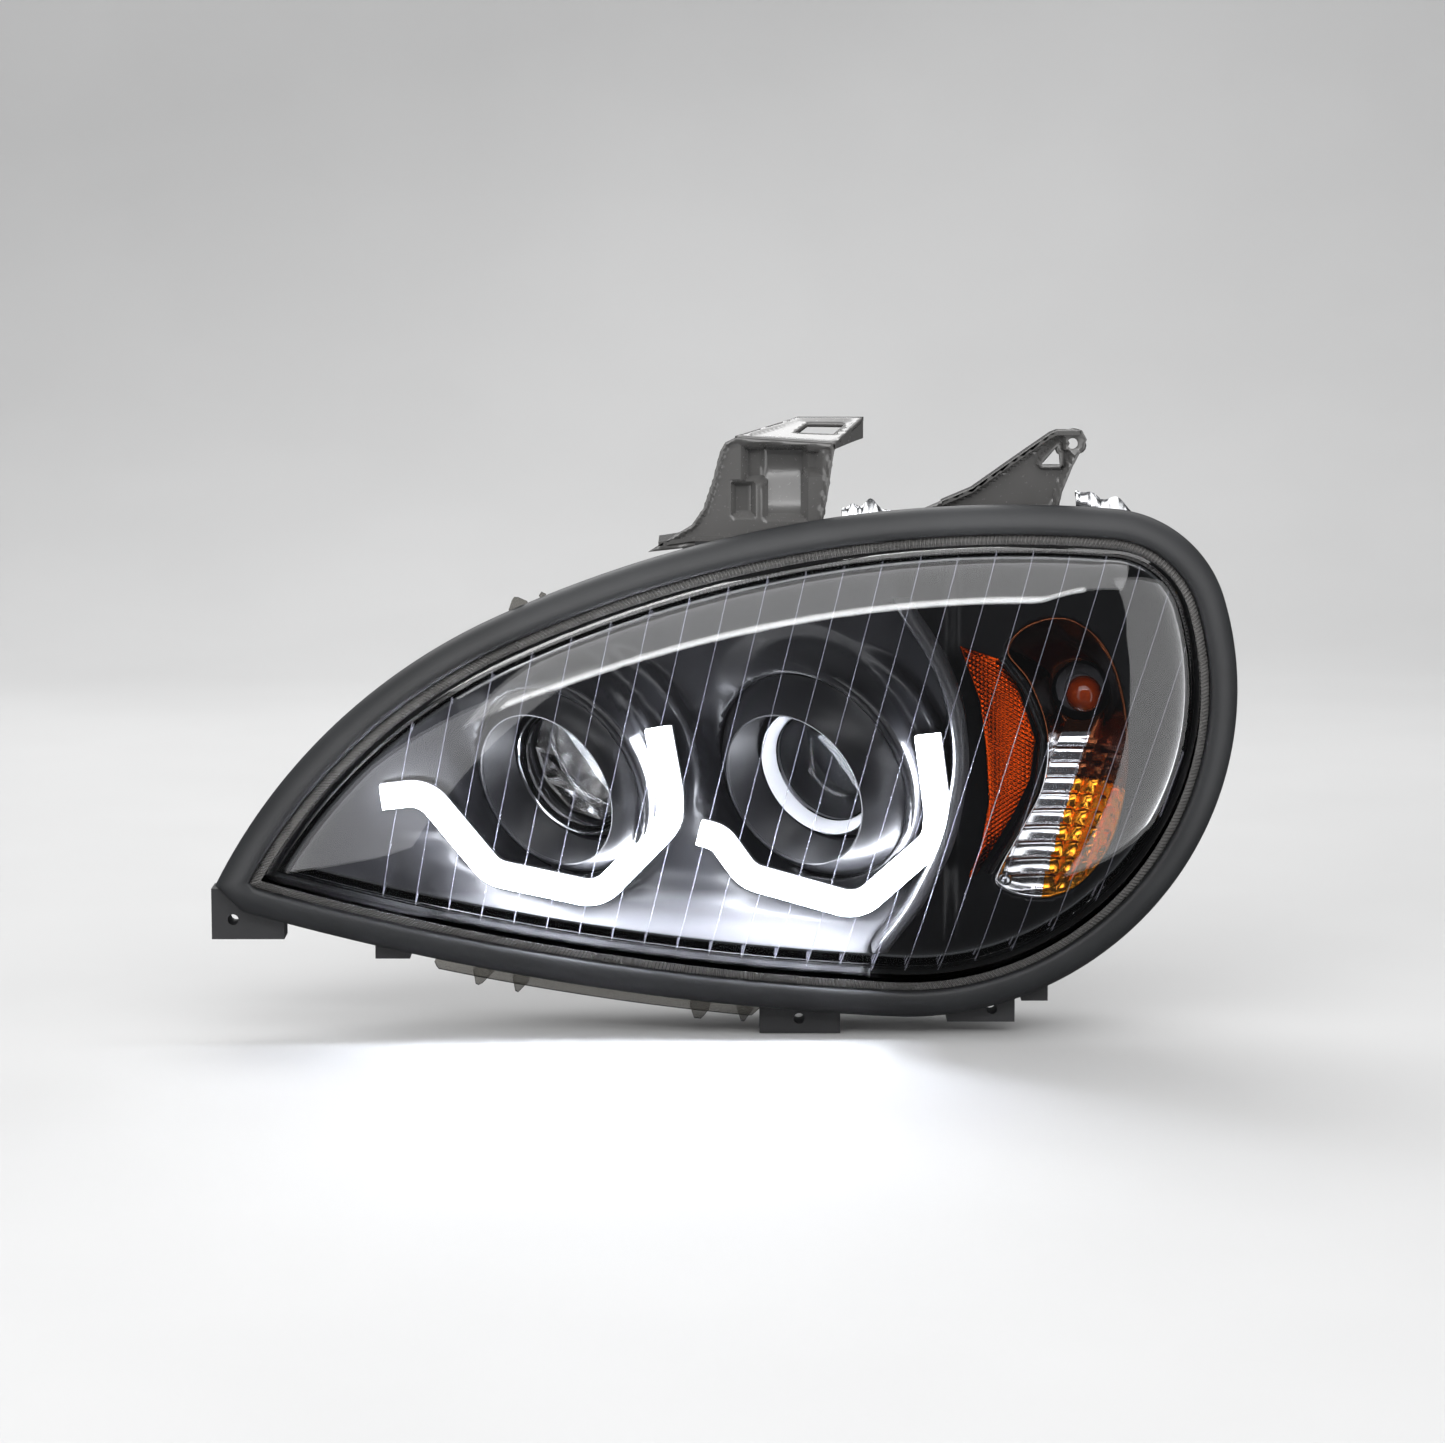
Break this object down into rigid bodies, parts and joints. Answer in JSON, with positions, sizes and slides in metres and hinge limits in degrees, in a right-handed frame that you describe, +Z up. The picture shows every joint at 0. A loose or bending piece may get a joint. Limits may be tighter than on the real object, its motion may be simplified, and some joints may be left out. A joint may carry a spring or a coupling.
{
  "type": "car headlight assembly",
  "caption": "Teardrop composite headlight with clear dome lens, projector lamps, glowing guide bars, amber turn section, aiming screws, rear caps and mounting brackets.",
  "frame": {"origin": "centre of the rectangle of four rear studs, on the plane of the stud bosses", "axes": "+Y to the rear of the lamp, along the studs; +Z up; +X to the viewer's right when the lamp is seen from the front, along its longest side"},
  "size_m": [0.6181, 0.196, 0.372],
  "materials": {
    "housing_black": "satin moulded",
    "clear_lens": "clear polycarbonate, glossy",
    "gasket_rubber": "matte extruded",
    "sealant": "matte",
    "bezel_black": "satin",
    "guide_white": "glowing white diffuser",
    "board": "white solder mask",
    "driver_alloy": "die cast",
    "chrome": "bright metallised",
    "amber": "clear amber",
    "amber_glass": "amber glass",
    "steel": "bright zinc",
    "bracket_grey": "satin moulded",
    "clear_glass": "polished",
    "alloy": "die cast",
    "nylon": "natural nylon",
    "cap_rubber": "matte",
    "bulb_plastic": "matte"
  },
  "bodies": {
    "lamp_body": {"housing": "housing_black", "lens": "clear_lens", "gasket": "gasket_rubber", "sealant_bead": "sealant", "bezel": "bezel_black", "shroud_high": "bezel_black", "shroud_low": "bezel_black", "light_guide_high": "guide_white", "light_guide_low": "guide_white", "led_board_high": "board", "led_board_low": "board", "led_driver": "driver_alloy", "turn_reflector": "chrome", "side_reflector": "amber", "turn_divider": "bezel_black", "spring_clips": "steel", "upper_bracket_inner": "bracket_grey", "upper_bracket_outer": "bracket_grey", "bracket_bolts": "steel", "rear_studs": "steel", "bezel_screws": "steel", "vent_elbows": "cap_rubber", "connector_inlet": "bulb_plastic", "pivot_stud": "steel", "vertical_adjuster_case": "bracket_grey", "horizontal_adjuster_case": "bracket_grey"},
    "aim_pivot": {"pivot_liner": "nylon"},
    "optics": {"carrier": "alloy", "projector_lens_high": "clear_glass", "projector_lens_low": "clear_glass", "lens_ring_high": "chrome", "lens_ring_low": "chrome", "lens_holder_high": "alloy", "lens_holder_low": "alloy", "reflector_high": "chrome", "reflector_low": "chrome", "cutoff_shield": "steel", "bulb_high": "clear_glass", "bulb_low": "clear_glass", "bulb_base_high": "bulb_plastic", "bulb_base_low": "bulb_plastic", "projector_screws": "steel", "vertical_ball_socket": "nylon", "horizontal_ball_socket": "nylon"},
    "vertical_rod": {"vertical_push_rod": "steel"},
    "horizontal_rod": {"horizontal_push_rod": "steel"},
    "vertical_screw": {"vertical_drive": "nylon"},
    "horizontal_screw": {"horizontal_drive": "nylon"},
    "cap_high": {"dust_cap_high": "cap_rubber", "cap_seal_high": "cap_rubber"},
    "cap_low": {"dust_cap_low": "cap_rubber", "cap_seal_low": "cap_rubber"},
    "turn_holder": {"turn_socket": "bulb_plastic", "turn_bulb": "amber_glass"}
  },
  "joints": [
    {"name": "aim_horizontal", "type": "hinge", "parent": "lamp_body", "child": "aim_pivot", "pos_m": [-0.007, -0.044, -0.064], "axis": [0, 0, 1], "range_deg": [-1.8, 1.8]},
    {"name": "aim_vertical", "type": "hinge", "parent": "aim_pivot", "child": "optics", "pos_m": [-0.007, -0.044, -0.064], "axis": [1, 0, 0], "range_deg": [-2.2, 2.2]},
    {"name": "vertical_rod_slide", "type": "slide", "parent": "lamp_body", "child": "vertical_rod", "axis": [0, 1, 0], "range_m": [-0.00577, 0.00577]},
    {"name": "horizontal_rod_slide", "type": "slide", "parent": "lamp_body", "child": "horizontal_rod", "axis": [0, 1, 0], "range_m": [-0.00378, 0.00378]},
    {"name": "vertical_screw_turn", "type": "hinge", "parent": "lamp_body", "child": "vertical_screw", "pos_m": [-0.007, 0.02, 0.086], "axis": [0, 1, 0], "range_deg": [-1038.8, 1038.8]},
    {"name": "horizontal_screw_turn", "type": "hinge", "parent": "lamp_body", "child": "horizontal_screw", "pos_m": [-0.127, 0.02, -0.064], "axis": [0, 1, 0], "range_deg": [-679.94, 679.94]},
    {"name": "cap_high_twist", "type": "hinge", "parent": "lamp_body", "child": "cap_high", "pos_m": [-0.058, 0, 0.032], "axis": [0, 1, 0], "range_deg": [0, 30]},
    {"name": "cap_low_twist", "type": "hinge", "parent": "lamp_body", "child": "cap_low", "pos_m": [0.089, 0, 0.032], "axis": [0, 1, 0], "range_deg": [0, 30]},
    {"name": "turn_holder_twist", "type": "hinge", "parent": "lamp_body", "child": "turn_holder", "pos_m": [0.189, 0, 0.04], "axis": [0, 1, 0], "range_deg": [0, 45]}
  ],
  "couplings": [
    {"joint": "vertical_rod_slide", "follows": "aim_vertical", "m_per_rad": -0.15},
    {"joint": "horizontal_rod_slide", "follows": "aim_horizontal", "m_per_rad": -0.12},
    {"joint": "vertical_screw_turn", "follows": "aim_vertical", "ratio": 471.24},
    {"joint": "horizontal_screw_turn", "follows": "aim_horizontal", "ratio": 376.99}
  ]
}
